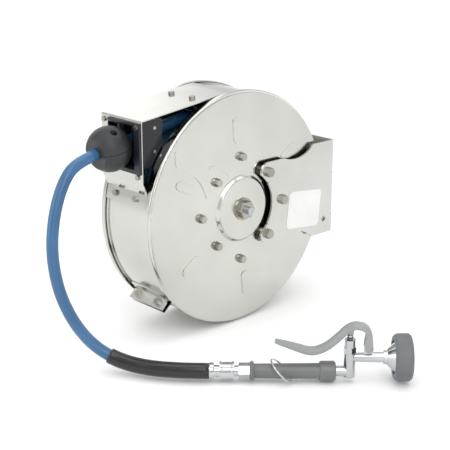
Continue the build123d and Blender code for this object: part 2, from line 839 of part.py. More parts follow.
with BuildPart() as pawl_pin:
    with BuildSketch(across(-plate_inner)):
        with Locations(pawl_pivot):
            Circle(pawl_shoulder_radius)
    extrude(amount=pawl_thickness - pawl_face - plate_inner + 4 * fit)
    with BuildSketch(across(-plate_inner)):
        with Locations(pawl_pivot):
            Circle(pawl_pin_radius)
    extrude(amount=-plate_inner - pawl_face - 4 * fit)
save(pawl_pin, "pawl_pin")

pawl_spring_start = 2 * pawl_spring_wire - plate_inner
with BuildPart() as pawl_spring:
    with BuildLine():
        coil = Helix(
            pitch=4 * pawl_spring_wire,
            height=10 * pawl_spring_wire,
            radius=pawl_spring_radius,
            center=(axle_x + pawl_x, pawl_spring_start, pawl_z),
            direction=(0, 1, 0),
        )
    with BuildSketch(Plane(coil @ 0, z_dir=coil % 0)):
        Circle(pawl_spring_wire)
    sweep(path=coil)
save(pawl_spring, "pawl_spring")

# Roller guide behind the outlet guard, with its face ring in front
hose_slope = lead_way.Z / lead_way.X
pair_gap = hose_radius + roller_play + roller_radius
vertical_x = front_x + vertical_roller_depth
horizontal_x = front_x + horizontal_roller_depth
horizontal_middle = ball_z + (horizontal_x - ball_x) * hose_slope
vertical_pins = Plane((axle_x + vertical_x, 0, guide_z - guide_half_outer))
horizontal_pins = across(guide_half_outer)
horizontal_spots = [(horizontal_x, horizontal_middle + side * pair_gap) for side in (-1, 1)]
with BuildPart() as roller_frame:
    with BuildSketch(facing(front_x + sheet)):
        with Locations((0, (guide_flange_top + guide_flange_bottom) / 2)):
            Rectangle(2 * guide_flange_half, guide_flange_top - guide_flange_bottom)
        with Locations(guide_screw_spots):
            Circle(guide_screw_radius + seat, mode=Mode.SUBTRACT)
    extrude(amount=guide_flange)
    with BuildSketch(facing(front_x + sheet)):
        with Locations((0, guide_z)):
            Rectangle(2 * guide_half_outer, 2 * guide_half_outer)
    extrude(amount=guide_depth)
    with BuildSketch(facing(front_x + sheet)):
        with Locations((0, guide_z)):
            Rectangle(2 * guide_half_inner, 2 * guide_half_inner)
    extrude(amount=guide_depth, mode=Mode.SUBTRACT)
    with BuildSketch(vertical_pins):
        with Locations((0, -pair_gap), (0, pair_gap)):
            Circle(roller_pin_radius + seat)
    extrude(amount=2 * guide_half_outer, mode=Mode.SUBTRACT)
    with BuildSketch(horizontal_pins):
        with Locations(horizontal_spots):
            Circle(roller_pin_radius + seat)
    extrude(amount=2 * guide_half_outer, mode=Mode.SUBTRACT)
save(roller_frame, "roller_frame")

with BuildPart() as roller_pins:
    with BuildSketch(vertical_pins):
        with Locations((0, -pair_gap), (0, pair_gap)):
            Circle(roller_pin_radius)
    extrude(amount=2 * guide_half_outer)
    with BuildSketch(horizontal_pins):
        with Locations(horizontal_spots):
            Circle(roller_pin_radius)
    extrude(amount=2 * guide_half_outer)
save(roller_pins, "roller_pins")

for name, y in (("roller_vertical_near", -pair_gap), ("roller_vertical_far", pair_gap)):
    with BuildPart() as roller:
        with BuildSketch(Plane((axle_x + vertical_x, y, guide_z - roller_length / 2))):
            Circle(roller_radius)
            Circle(roller_pin_radius + fit, mode=Mode.SUBTRACT)
        extrude(amount=roller_length)
        chamfer(edges().filter_by(GeomType.CIRCLE).group_by(SortBy.RADIUS)[-1], length=roller_chamfer)
    save(roller, name)

for name, spot in (("roller_lower", horizontal_spots[0]), ("roller_upper", horizontal_spots[1])):
    with BuildPart() as roller:
        with BuildSketch(across(roller_length / 2)):
            with Locations(spot):
                Circle(roller_radius)
                Circle(roller_pin_radius + fit, mode=Mode.SUBTRACT)
        extrude(amount=roller_length)
        chamfer(edges().filter_by(GeomType.CIRCLE).group_by(SortBy.RADIUS)[-1], length=roller_chamfer)
    save(roller, name)

with BuildPart() as guide_bezel:
    with BuildSketch(facing(front_x)):
        with Locations((bezel_near, bezel_bottom)):
            Rectangle(bezel_far - bezel_near, bezel_top - bezel_bottom, align=Align.MIN)
        with Locations((0, bezel_z)):
            Rectangle(2 * bezel_half_open, 2 * bezel_half_open, mode=Mode.SUBTRACT)
        with Locations(guide_screw_spots[0]):
            Circle(guide_screw_radius + fit, mode=Mode.SUBTRACT)
    extrude(amount=-bezel_thickness)
    seat_edges = faces().sort_by(Axis.X)[0].edges().filter_by(GeomType.LINE)
    seat_edges = seat_edges.filter_by(lambda e: abs(e.center().Z - bezel_z) < bezel_half_open + 1)
    seat_edges = seat_edges.filter_by(lambda e: -bezel_half_open - 1 < e.center().Y < bezel_half_open / 2)
    chamfer(seat_edges, length=bezel_chamfer)
save(guide_bezel, "guide_bezel")

with BuildPart() as guide_screws:
    with BuildSketch(facing(front_x - bezel_thickness)):
        with Locations(guide_screw_spots[0]):
            Circle(guide_screw_head)
    extrude(amount=-guide_screw_head_height)
    with BuildSketch(facing(front_x - bezel_thickness)):
        with Locations(guide_screw_spots[0]):
            Circle(guide_screw_radius)
    extrude(amount=bezel_thickness + sheet + guide_flange)
    with BuildSketch(facing(front_x)):
        with Locations(guide_screw_spots[1:]):
            Circle(guide_screw_head)
    extrude(amount=-guide_screw_head_height)
    with BuildSketch(facing(front_x)):
        with Locations(guide_screw_spots[1:]):
            Circle(guide_screw_radius)
    extrude(amount=sheet + guide_flange)
save(guide_screws, "guide_screws")

# Ball stop in two halves, clamped on the hose by two screws
ball_up = Vector(lead_way.Z, 0, -lead_way.X)
ball_split = Plane(ball_centre, x_dir=lead_way, z_dir=ball_up)
ball_screw_spots = [(0, -ball_screw_offset), (0, ball_screw_offset)]
with BuildPart() as ball:
    with BuildSketch(Plane(ball_centre, x_dir=lead_way, z_dir=(0, 1, 0))):
        Circle(ball_radius)
        Rectangle(2 * ball_flat, 2 * ball_radius, mode=Mode.INTERSECT)
        with Locations((0, hose_radius + seat)):
            Rectangle(2 * ball_flat, ball_radius, align=(Align.CENTER, Align.MIN), mode=Mode.INTERSECT)
    revolve(axis=Axis(ball_centre, lead_way))
    with BuildSketch(ball_split):
        Rectangle(3 * ball_radius, 3 * ball_radius)
    extrude(amount=ball_seam / 2, both=True, mode=Mode.SUBTRACT)
    with BuildSketch(ball_split.offset(ball_recess_floor)):
        with Locations(ball_screw_spots):
            Circle(ball_recess_radius)
    extrude(amount=ball_radius, mode=Mode.SUBTRACT)
    with BuildSketch(ball_split):
        with Locations(ball_screw_spots):
            Circle(ball_screw_radius + fit)
    extrude(amount=ball_recess_floor, both=True, mode=Mode.SUBTRACT)

with BuildPart() as ball_upper:
    add(ball.part.solids().sort_by(Axis.Z)[-1])
save(ball_upper, "ball_upper")

with BuildPart() as ball_lower:
    add(ball.part.solids().sort_by(Axis.Z)[0])
save(ball_lower, "ball_lower")

with BuildPart() as ball_screws:
    with BuildSketch(ball_split.offset(ball_recess_floor)):
        with Locations(ball_screw_spots):
            Circle(ball_recess_radius - 10 * seat)
            RegularPolygon(ball_socket_flats / 2, 6, major_radius=False, mode=Mode.SUBTRACT)
    extrude(amount=2 * ball_screw_radius)
    with BuildSketch(ball_split.offset(ball_recess_floor)):
        with Locations(ball_screw_spots):
            Circle(ball_screw_radius)
    extrude(amount=-2 * ball_recess_floor + 1)
    with BuildSketch(ball_split.offset(ball_recess_floor)):
        with Locations(ball_screw_spots):
            Circle(ball_recess_radius - 10 * seat)
    extrude(amount=ball_screw_radius)
save(ball_screws, "ball_screws")

# Hose: straight from the coil through the rollers and the ball, then hanging down to the valve
with BuildPart() as hose_lead:
    with BuildSketch(Plane(lead_start, z_dir=lead_way)):
        Circle(hose_radius)
    extrude(amount=(hose_exit - lead_start).length)
save(hose_lead, "hose_lead")

route = [
    hose_exit,
    hose_exit + lead_way * hose_lead_in,
    Vector(axle_x - 277, -3, 82),
    Vector(axle_x - 296.5, -7, 43),
    Vector(axle_x - 308, -13, -6),
    Vector(axle_x - 307, -23, -58),
    Vector(axle_x - 293, -35, -105),
    Vector(axle_x - 272, -53, -142),
    Vector(axle_x - 248, -88, -162),
    valve_start - valve_way * valve_lead,
    valve_start,
]
bends = corner_radii(route)
with BuildPart() as hose_free:
    with BuildLine() as hose_path:
        FilletPolyline(*route, radius=bends)
    with BuildSketch(Plane(hose_exit, z_dir=lead_way)):
        Circle(hose_radius)
    sweep()
save(hose_free, "hose_free")
hose_length = sum(edge.length for edge in hose_path.edges())
print("hose bend radii", [round(r) for r in bends], "free length", round(hose_length))
print("hose volume", round(hose_free.part.volume), "from its section", round(pi * hose_radius**2 * hose_length))
print("hose corners", [tuple(round(v, 1) for v in corner) for corner in route])
print("hose lead from", lead_start, "to", hose_exit)

sleeve_start = (route[-4] + route[-3]) / 2
with BuildPart() as hose_sleeve:
    with BuildLine():
        FilletPolyline(sleeve_start, *route[-3:], radius=bends[-2:])
    with BuildSketch(Plane(sleeve_start, z_dir=route[-3] - route[-4])):
        Circle(sleeve_radius)
        Circle(hose_radius + seat, mode=Mode.SUBTRACT)
    sweep()
save(hose_sleeve, "hose_sleeve")

# Hose end: ferrule and the flanged stem on which the valve's nut turns
with BuildPart() as hose_ferrule:
    add(turned([(0, stem_spigot + seat), (0, 10.8), (1.5, 11.5), (5.2, 11.5), (ferrule_end, 10.8), (ferrule_end, stem_spigot + seat)]))
save(hose_ferrule, "hose_ferrule")

with BuildPart() as hose_stem:
    add(
        turned(
            [
                (0, valve_bore),
                (0, stem_spigot),
                (ferrule_end, stem_spigot),
                (ferrule_end, neck_radius),
                (flange_start, neck_radius),
                (flange_start, stem_flange),
                (flange_end, stem_flange),
                (flange_end, valve_bore),
            ]
        )
    )
save(hose_stem, "hose_stem")

# Spray valve: swivel nut, inlet tube, grip and collar
nut_inner = stem_flange + fit
with BuildPart() as swivel_nut:
    add(
        turned(
            [
                (nut_start, neck_radius + fit),
                (nut_start, nut_radius),
                (nut_start + 2.5, nut_radius),
                (nut_start + 3.5, nut_radius - 0.8),
                (valve_nut_end - 3.5, nut_radius - 0.8),
                (valve_nut_end - 2.5, nut_radius),
                (valve_nut_end, nut_radius),
                (valve_nut_end, nut_inner),
                (flange_start - 4 * fit, nut_inner),
                (flange_start - 4 * fit, neck_radius + fit),
            ]
        )
    )
save(swivel_nut, "swivel_nut")

with BuildPart() as valve_inlet:
    add(
        turned(
            [
                (flange_end + 1, valve_bore),
                (flange_end + 1, nut_inner - seat),
                (valve_nut_end, nut_inner - seat),
                (valve_nut_end, inlet_neck_radius),
                (coupling_start, inlet_neck_radius),
                (coupling_end, inlet_neck_radius),
                (coupling_end, tube_radius),
                (body_start, tube_radius),
                (body_start, valve_bore),
            ]
        )
    )
    with BuildSketch(along_valve(coupling_start)):
        RegularPolygon(coupling_flats / 2, 6, major_radius=False)
        Circle(inlet_neck_radius, mode=Mode.SUBTRACT)
    extrude(amount=coupling_end - coupling_start)
save(valve_inlet, "valve_inlet")

with BuildPart() as grip:
    add(
        turned(
            [
                (coupling_end, tube_radius + seat),
                (coupling_end, grip_flange_radius - 2),
                (coupling_end + 2, grip_flange_radius),
                (coupling_end + 4, grip_flange_radius),
                (coupling_end + 6, grip_flange_radius - 2),
                (coupling_end + 6, grip_radius - 0.8),
                (grip_end, grip_radius),
                (grip_end, tube_radius + seat),
            ]
        )
    )
    with BuildSketch(Plane(valve_start + valve_way * ring_s, x_dir=valve_way, z_dir=valve_side)):
        Circle(ring_wire + fit)
    extrude(amount=grip_radius, both=True, mode=Mode.SUBTRACT)
save(grip, "grip")

with BuildPart() as grip_collar:
    add(
        turned(
            [
                (grip_end, tube_radius + seat),
                (grip_end, collar_radius - 2),
                (grip_end + 2, collar_radius),
                (body_start - 2, collar_radius),
                (body_start, collar_radius - 2),
                (body_start, tube_radius + seat),
            ]
        )
    )
save(grip_collar, "grip_collar")

# Valve body, with the lug that carries the lever
with BuildPart() as valve_body:
    add(turned([(body_start, 0), (body_start, run_radius), (stem_s, run_radius), (stem_s, 0)]))
    add(upright(stem_s, -body_radius, bonnet_bottom, body_radius))
    add(turned([(stem_s, 0), (stem_s, outlet_radius_near), (outlet_end, outlet_radius_far), (outlet_end, 0)], outlet_h))
    with BuildSketch(valve_plane):
        with Locations((pivot_s, (outlet_h + pivot_h) / 2)):
            Rectangle(2 * lug_radius, pivot_h - outlet_h)
        with Locations((pivot_s, pivot_h)):
            Circle(lug_radius)
    extrude(amount=lug_half_width, both=True)
    add(turned([(body_start, 0), (body_start, passage), (stem_s, passage), (stem_s, 0)]), mode=Mode.SUBTRACT)
    add(upright(stem_s, -valve_bore, bonnet_bottom, valve_bore), mode=Mode.SUBTRACT)
    add(turned([(stem_s, 0), (stem_s, passage), (outlet_end, passage), (outlet_end, 0)], outlet_h), mode=Mode.SUBTRACT)
    with BuildSketch(valve_plane):
        with Locations((pivot_s, pivot_h)):
            Circle(pivot_radius + seat)
    extrude(amount=lug_half_width, both=True, mode=Mode.SUBTRACT)
save(valve_body, "valve_body")

with BuildPart() as bonnet:
    with BuildSketch(Plane(valve_start + valve_way * stem_s + Vector(0, 0, bonnet_bottom))):
        RegularPolygon(bonnet_radius, 6, major_radius=False)
    extrude(amount=bonnet_hex_height)
    add(upright(stem_s, bonnet_bottom, bonnet_top, bonnet_radius))
    add(upright(stem_s, bonnet_bottom, bonnet_top, stem_radius + fit), mode=Mode.SUBTRACT)
save(bonnet, "bonnet")

with BuildPart() as stem:
    add(upright(stem_s, stem_bottom, cap_bottom, stem_radius))
    add(upright(stem_s, cap_bottom, cap_top, cap_radius))
    fillet(edges().filter_by(GeomType.CIRCLE).group_by(Axis.Z)[-1], radius=cap_round)
save(stem, "stem")

valve_spring_height = cap_bottom - bonnet_top - 2 * valve_spring_wire - 0.2
with BuildPart() as valve_spring:
    with BuildLine():
        coil = Helix(
            pitch=valve_spring_height / 2,
            height=valve_spring_height,
            radius=valve_spring_radius,
            center=valve_start + valve_way * stem_s + Vector(0, 0, bonnet_top + valve_spring_wire + 0.1),
        )
    with BuildSketch(Plane(coil @ 0, z_dir=coil % 0)):
        Circle(valve_spring_wire)
    sweep(path=coil)
save(valve_spring, "valve_spring")

# Spray head with its rubber bumper
with BuildPart() as spray_head:
    add(
        turned(
            [
                (outlet_end, valve_bore),
                (outlet_end, 9.5),
                (outlet_end + 5, 9.5),
                (outlet_end + 5, 11),
                (bumper_start + 5, rim_radius - seat),
                (head_end, rim_radius - seat),
                (head_end, rim_radius - rim_wall),
                (bumper_start + 6, rim_radius - rim_wall),
                (outlet_end + 8, valve_bore + 4),
                (outlet_end + 6, valve_bore),
            ],
            outlet_h,
        )
    )
    with BuildSketch(Plane(valve_start + valve_way * (head_end - 5) + Vector(0, 0, outlet_h), z_dir=valve_way)):
        Circle(rim_radius - rim_wall)
        Circle(nozzle_radius, mode=Mode.SUBTRACT)
        with PolarLocations(nozzle_ring_radius, nozzle_count):
            Circle(nozzle_radius, mode=Mode.SUBTRACT)
    extrude(amount=2)
save(spray_head, "spray_head")

with BuildPart() as bumper_ring:
    add(
        turned(
            [
                (bumper_start, rim_radius),
                (bumper_start, bumper_radius - 4),
                (bumper_start + 3, bumper_radius - 1),
                (bumper_start + 6, bumper_radius),
                (bumper_end - 4, bumper_radius),
                (bumper_end - 1, bumper_radius - 2),
                (bumper_end, bumper_radius - 5),
                (bumper_end, rim_radius),
            ],
            outlet_h,
        )
    )
save(bumper_ring, "bumper_ring")

# Lever over the stem, forked at its pivot, and the ring pivoted on the grip
with BuildPart() as lever:
    with BuildSketch(valve_plane):
        with BuildLine():
            FilletPolyline(
                (pivot_s, pivot_h),
                (pivot_s - 1, 58),
                (stem_s + 1.5, 62.5),
                (161.5, 41.5),
                (136.4, 31),
                (90, 41.5),
                radius=12,
            )
        trace(line_width=lever_thickness)
        with Locations((pivot_s, pivot_h)):
            Circle(lug_radius)
        with Locations((90, 41.5)):
            Circle(lever_thickness / 2)
        with Locations((stem_s + 1, cap_top + lever_gap)):
            Rectangle(lever_pad, lever_pad, align=(Align.CENTER, Align.MIN))
    extrude(amount=lever_half_width, both=True)
    with BuildSketch(valve_plane):
        with Locations((pivot_s, pivot_h)):
            Rectangle(6 * lug_radius, 4.2 * lug_radius)
    extrude(amount=lever_slot_half, both=True, mode=Mode.SUBTRACT)
    with BuildSketch(valve_plane):
        with Locations((pivot_s, pivot_h)):
            Circle(pivot_radius + fit)
    extrude(amount=lever_half_width, both=True, mode=Mode.SUBTRACT)
save(lever, "lever")

with BuildPart() as lever_pivot:
    with BuildSketch(valve_plane):
        with Locations((pivot_s, pivot_h)):
            Circle(pivot_radius)
    extrude(amount=lever_half_width, both=True)
save(lever_pivot, "lever_pivot")

ring_middle = valve_start + valve_way * ring_s
ring_normal = valve_way * sin(radians(ring_tilt)) + Vector(0, 0, cos(radians(ring_tilt)))
with BuildPart() as hook_ring:
    with BuildSketch(Plane(ring_middle, x_dir=valve_side, z_dir=valve_side.cross(ring_normal))):
        with Locations((ring_radius, 0)):
            Circle(ring_wire)
    revolve(axis=Axis(ring_middle, ring_normal))
    for side in (-1, 1):
        with BuildSketch(Plane(ring_middle + valve_side * side * ring_pin_end, z_dir=valve_side * side)):
            Circle(ring_wire)
        extrude(amount=ring_radius - ring_pin_end)
save(hook_ring, "hook_ring")
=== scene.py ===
"""Enclosed spring-rewind hose reel with a spray valve, in metres, in the same frame as its CAD parts."""

import json
from math import cos, inf, pi, radians, sin

import bmesh
import bpy
from mathutils import Matrix, Vector


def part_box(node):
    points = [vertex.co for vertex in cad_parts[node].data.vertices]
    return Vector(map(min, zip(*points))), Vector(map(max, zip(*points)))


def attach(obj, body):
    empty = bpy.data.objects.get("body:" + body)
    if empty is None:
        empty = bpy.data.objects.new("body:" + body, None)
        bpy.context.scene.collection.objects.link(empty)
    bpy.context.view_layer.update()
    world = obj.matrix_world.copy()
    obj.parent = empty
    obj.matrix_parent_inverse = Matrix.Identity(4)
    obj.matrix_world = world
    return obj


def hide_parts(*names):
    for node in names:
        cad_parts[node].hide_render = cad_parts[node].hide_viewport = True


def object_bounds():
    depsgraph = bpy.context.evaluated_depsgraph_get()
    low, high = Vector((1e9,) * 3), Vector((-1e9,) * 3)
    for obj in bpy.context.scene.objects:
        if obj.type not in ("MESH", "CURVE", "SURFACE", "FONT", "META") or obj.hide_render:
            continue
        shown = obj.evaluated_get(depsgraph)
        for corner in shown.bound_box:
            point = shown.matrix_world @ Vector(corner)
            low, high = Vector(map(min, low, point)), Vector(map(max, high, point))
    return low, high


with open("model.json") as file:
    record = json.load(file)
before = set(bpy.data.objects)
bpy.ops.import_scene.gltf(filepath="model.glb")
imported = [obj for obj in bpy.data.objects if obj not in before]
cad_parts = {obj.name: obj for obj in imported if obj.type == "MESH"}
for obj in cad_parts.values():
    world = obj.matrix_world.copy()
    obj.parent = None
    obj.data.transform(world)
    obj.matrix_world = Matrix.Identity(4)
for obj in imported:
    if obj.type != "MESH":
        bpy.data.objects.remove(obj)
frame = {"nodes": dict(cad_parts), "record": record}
cad_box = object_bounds()

# Places shared by several pieces
AXLE = Vector((-0.193, 0, 0))
VALVE_HEADING = radians(-42.9)
VALVE_WAY = Vector((cos(VALVE_HEADING), sin(VALVE_HEADING), 0))
VALVE_ACROSS = VALVE_WAY.cross(Vector((0, 0, 1)))
VALVE_START = Vector((-0.3724, -0.1822, -0.1624))

# Hose and sleeve
HOSE_RADIUS = 0.00825
HOSE_ROUTE = [
    (-0.4136, 0, 0.1088),
    (-0.4461, 0, 0.1030),
    (-0.470, -0.003, 0.082),
    (-0.4895, -0.007, 0.043),
    (-0.501, -0.013, -0.006),
    (-0.500, -0.023, -0.058),
    (-0.486, -0.035, -0.105),
    (-0.465, -0.053, -0.142),
    (-0.441, -0.088, -0.162),
    tuple(VALVE_START - VALVE_WAY * 0.054),
    tuple(VALVE_START),
]
SLEEVE_RADIUS = 0.01075
SLEEVE_START = (Vector(HOSE_ROUTE[-4]) + Vector(HOSE_ROUTE[-3])) / 2
SLEEVE_SIDES = 40

# Wound hose
COIL_LAYERS = (0.0844, 0.0990, 0.1140, 0.1286)  # radii of the layers' middles
COIL_TURNS = 4  # in each layer
COIL_GAP = 0.0009
TURN_POINTS = 16

# Lever, in the valve's upright plane: (along the valve, height above its middle)
LEVER_ROUTE = [
    (0.2123, 0.0470),
    (0.2128, 0.0560),
    (0.2055, 0.0645),
    (0.1880, 0.0660),
    (0.1700, 0.0470),
    (0.1550, 0.0340),
    (0.1360, 0.0275),
    (0.1140, 0.0355),
    (0.0880, 0.0435),
]
LEVER_THICKNESS = 0.0088
LEVER_WIDTH = 0.0158
LEVER_SIDES = 28
LEVER_SQUARENESS = 0.45  # 1 is an ellipse, nearer 0 is a rectangle
TAPER_START = 0.80  # share of the lever's length
TIP_NARROWER, TIP_THINNER = 0.45, 0.42  # what the tip loses of its width and thickness
PIVOT = (0.2123, 0.0343)
CHEEK_RADIUS = 0.0059
CHEEK_HALF_WIDTH = CHEEK_RADIUS * 0.75
CHEEK_TOP = 0.0500
CHEEK_INNER, CHEEK_OUTER = 0.0041, 0.0079
CHEEK_STEPS = 18
PAD_FOOT = (0.1885, 0.0536)  # where the lever presses the stem
PAD_HALF_LENGTH, PAD_HALF_WIDTH, PAD_HEIGHT = 0.003, 0.0045, 0.008
LARGEST_SMOOTH_FACE = 4e-6  # the lever's flat cheeks and pad are larger

# Label plate
LABEL_SIZE = Vector((0.071, 0.0004, 0.058))
LABEL_FROM_AXLE = (0.126, -0.025)
LABEL_ROUND = 0.003
LABEL_TILT = radians(6.5)

# Studio
FLOOR_SIZE = 60
FLOOR_GREY = 0.96
SKY_BANDS = 4  # grey and white stretches round the studio, for the polished metal to mirror
SKY_GREYS = (0.50, 1.0)
SKY_EDGES = (0.30, 0.62)
SKY_STRENGTH = 1.62
LIT_POINT = (-0.2, 0, 0)
SOFT_BOXES = {  # place, size, power
    "key": ((-1.2, -1.6, 1.6), (1.2, 1.2), 9),
    "fill": ((-2.0, 0.6, 0.8), (0.8, 1.4), 4),
    "top": ((-0.3, -0.2, 2.0), (1.6, 1.6), 7),
}
CAMERA_PLACE = (-1.3179, -1.2311, 0.4931)
CAMERA_WAY = Vector((0.6486, 0.6980, -0.3040))
CAMERA_LENS, CAMERA_SENSOR = 92.28, 36


# Materials


def new_material(name):
    """A new node material, its tree and its Principled shader."""
    mat = bpy.data.materials.new(name)
    mat.use_nodes = True
    return mat, mat.node_tree, mat.node_tree.nodes["Principled BSDF"]


def noise(tree, scale, detail, stretch=(1, 1, 1)):
    """Noise in object space, stretched along an axis for brushed grain."""
    coords = tree.nodes.new("ShaderNodeTexCoord")
    mapping = tree.nodes.new("ShaderNodeMapping")
    mapping.inputs["Scale"].default_value = stretch
    texture = tree.nodes.new("ShaderNodeTexNoise")
    texture.inputs["Scale"].default_value = scale
    texture.inputs["Detail"].default_value = detail
    tree.links.new(coords.outputs["Object"], mapping.inputs["Vector"])
    tree.links.new(mapping.outputs["Vector"], texture.inputs["Vector"])
    return texture.outputs["Fac"]


def ramp(tree, fac, values, places=(0.35, 0.65)):
    """A ramp between two greys or two colours, with its stops at these places."""
    node = tree.nodes.new("ShaderNodeValToRGB")
    for stop, value, place in zip(node.color_ramp.elements, values, places):
        stop.position = place
        stop.color = (*value, 1) if isinstance(value, tuple) else (value, value, value, 1)
    tree.links.new(fac, node.inputs["Fac"])
    return node.outputs["Color"]


def add_bump(tree, shader, height, strength, distance):
    """Bumps a shader's surface by this height."""
    bump = tree.nodes.new("ShaderNodeBump")
    bump.inputs["Strength"].default_value = strength
    bump.inputs["Distance"].default_value = distance
    tree.links.new(height, bump.inputs["Height"])
    tree.links.new(bump.outputs["Normal"], shader.inputs["Normal"])


def metal(name, dark, light, rough, grain=(1, 1, 1), grain_scale=300, bump=0.05):
    """Metal with soft smudges in its gloss and a fine grain."""
    mat, tree, shader = new_material(name)
    shader.inputs["Metallic"].default_value = 1.0
    tree.links.new(ramp(tree, noise(tree, 9, 6), (dark, light)), shader.inputs["Base Color"])
    gloss = ramp(tree, noise(tree, 22, 8), (rough * 0.75, rough * 1.25))
    tree.links.new(gloss, shader.inputs["Roughness"])
    add_bump(tree, shader, noise(tree, grain_scale, 2, grain), bump, 0.00005)
    return mat


def plastic(name, dark, light, rough, grain_scale=900, bump=0.15, coat=0.0):
    """Moulded plastic or rubber with a fine texture and slight colour drift."""
    mat, tree, shader = new_material(name)
    tree.links.new(ramp(tree, noise(tree, 14, 5), (dark, light)), shader.inputs["Base Color"])
    gloss = ramp(tree, noise(tree, 40, 6), (rough * 0.85, rough * 1.15))
    tree.links.new(gloss, shader.inputs["Roughness"])
    shader.inputs["Coat Weight"].default_value = coat
    shader.inputs["Coat Roughness"].default_value = 0.15
    add_bump(tree, shader, noise(tree, grain_scale, 2), bump, 0.00008)
    return mat


METALS = {
    "polished_stainless": ((0.535, 0.54, 0.50), (0.605, 0.61, 0.57), 0.15),
    "bracket_stainless": ((0.54, 0.545, 0.515), (0.62, 0.62, 0.59), 0.24, (1, 1, 14), 220, 0.12),
    "bolt_steel": ((0.30, 0.29, 0.26), (0.46, 0.44, 0.40), 0.24),
    "hub_steel": ((0.40, 0.41, 0.42), (0.52, 0.53, 0.54), 0.38),
    "spring_steel": ((0.20, 0.21, 0.23), (0.33, 0.34, 0.36), 0.35),
    "brass": ((0.60, 0.44, 0.18), (0.76, 0.60, 0.30), 0.28),
    "bronze_bush": ((0.52, 0.34, 0.18), (0.62, 0.44, 0.25), 0.45),
    "chrome": ((0.47, 0.48, 0.49), (0.57, 0.58, 0.59), 0.06, (1, 1, 1), 300, 0.02),
}
PLASTICS = {
    "grey_lever": ((0.22, 0.235, 0.235), (0.29, 0.305, 0.305), 0.36, 420, 0.08, 0.25),
    "black_plastic": ((0.004, 0.005, 0.009), (0.008, 0.010, 0.016), 0.34),
    "seal_rubber": ((0.01, 0.01, 0.01), (0.02, 0.02, 0.02), 0.6),
    "blue_hose": ((0.021, 0.098, 0.225), (0.033, 0.135, 0.290), 0.34, 260, 0.10, 0.3),
    "black_sleeve": ((0.005, 0.005, 0.006), (0.010, 0.010, 0.011), 0.24, 300, 0.06, 0.2),
    "ball_rubber": ((0.011, 0.013, 0.014), (0.021, 0.023, 0.025), 0.46, 700, 0.25),
    "grey_grip": ((0.125, 0.130, 0.131), (0.165, 0.170, 0.171), 0.40, 800, 0.2, 0.15),
    "bumper_rubber": ((0.115, 0.125, 0.133), (0.155, 0.165, 0.173), 0.50, 500, 0.2),
    "label": ((0.72, 0.72, 0.70), (0.80, 0.80, 0.78), 0.45, 600, 0.03),
}
MATERIALS = {name: metal(name, *look) for name, look in METALS.items()}
MATERIALS |= {name: plastic(name, *look) for name, look in PLASTICS.items()}


def repaint():
    """Gives every CAD node the detailed material of its slot."""
    for part in frame["record"]["subparts"]:
        node = frame["nodes"][part["node"]]
        for place in node.material_slots:
            place.material = MATERIALS[part["material_slot"]]
        if not node.material_slots:
            node.data.materials.append(MATERIALS[part["material_slot"]])


# Shapes


def add_object(name, data, material=None):
    """A new object in the scene with this data."""
    obj = bpy.data.objects.new(name, data)
    bpy.context.scene.collection.objects.link(obj)
    if material:
        data.materials.append(material)
    return obj


def nurbs(name, points, radius, material=None):
    """A round tube on the smooth line that has these control points."""
    data = bpy.data.curves.new(name, "CURVE")
    data.dimensions = "3D"
    data.resolution_u = 14
    data.bevel_depth = radius
    data.bevel_resolution = 7
    data.use_fill_caps = True
    line = data.splines.new("NURBS")
    line.points.add(len(points) - 1)
    for point, place in zip(line.points, points):
        point.co = (*place, 1)
    line.order_u = 3
    line.use_endpoint_u = True
    return add_object(name, data, material)


def points_along(route):
    """Points read back from the smooth line that has these control points."""
    curve = nurbs("line", route, 0)
    bpy.context.view_layer.update()
    seen = curve.evaluated_get(bpy.context.evaluated_depsgraph_get())
    mesh = bpy.data.meshes.new_from_object(seen)
    points = [v.co.copy() for v in mesh.vertices]
    bpy.data.objects.remove(curve)
    bpy.data.meshes.remove(mesh)
    return points


def way_at(points, i):
    """The direction of a line of points at point i."""
    return (points[min(i + 1, len(points) - 1)] - points[max(i - 1, 0)]).normalized()


def skin(bm, rings):
    """Closed walls and ends over these rings of points."""
    rows = [[bm.verts.new(point) for point in ring] for ring in rings]
    sides = len(rows[0])
    for a, b in zip(rows, rows[1:]):
        for k in range(sides):
            bm.faces.new((a[k], a[(k + 1) % sides], b[(k + 1) % sides], b[k]))
    bm.faces.new(rows[0][::-1])
    bm.faces.new(rows[-1])


def mesh_piece(name, bm, material, largest_smooth=0.0):
    """An object from bm, whose four-sided faces below this area are smooth."""
    bmesh.ops.recalc_face_normals(bm, faces=bm.faces)
    data = bpy.data.meshes.new(name)
    bm.to_mesh(data)
    bm.free()
    for face in data.polygons:
        face.use_smooth = len(face.vertices) == 4 and face.area < largest_smooth
    return add_object(name, data, material)


def make_wound_hose():
    """The hose on the spool, in layers that run to and fro across it."""
    lane = 2 * HOSE_RADIUS + COIL_GAP
    end_lane = (COIL_TURNS - 1) / 2
    points = []
    for layer, radius in enumerate(COIL_LAYERS):
        side = 1 if layer % 2 == 0 else -1
        reach = radius / cos(pi / TURN_POINTS) ** 0.5
        for step in range(COIL_TURNS * TURN_POINTS):
            across = max(-end_lane, min(end_lane, step / TURN_POINTS - end_lane - 0.5))
            angle = 2 * pi * (layer * COIL_TURNS + step / TURN_POINTS)
            away = Vector((reach * cos(angle), side * across * lane, reach * sin(angle)))
            points.append(AXLE + away)
    wound = nurbs("wound_hose", points, HOSE_RADIUS, MATERIALS["blue_hose"])
    wound.data.resolution_u = 3
    wound.data.bevel_resolution = 4
    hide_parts("hose_wound")
    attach(wound, "spool")


def make_free_hose():
    """The hose's free end, from the ball down to the valve."""
    free = nurbs("free_hose", HOSE_ROUTE, HOSE_RADIUS, MATERIALS["blue_hose"])
    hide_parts("hose_free")
    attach(free, "housing")
    return free


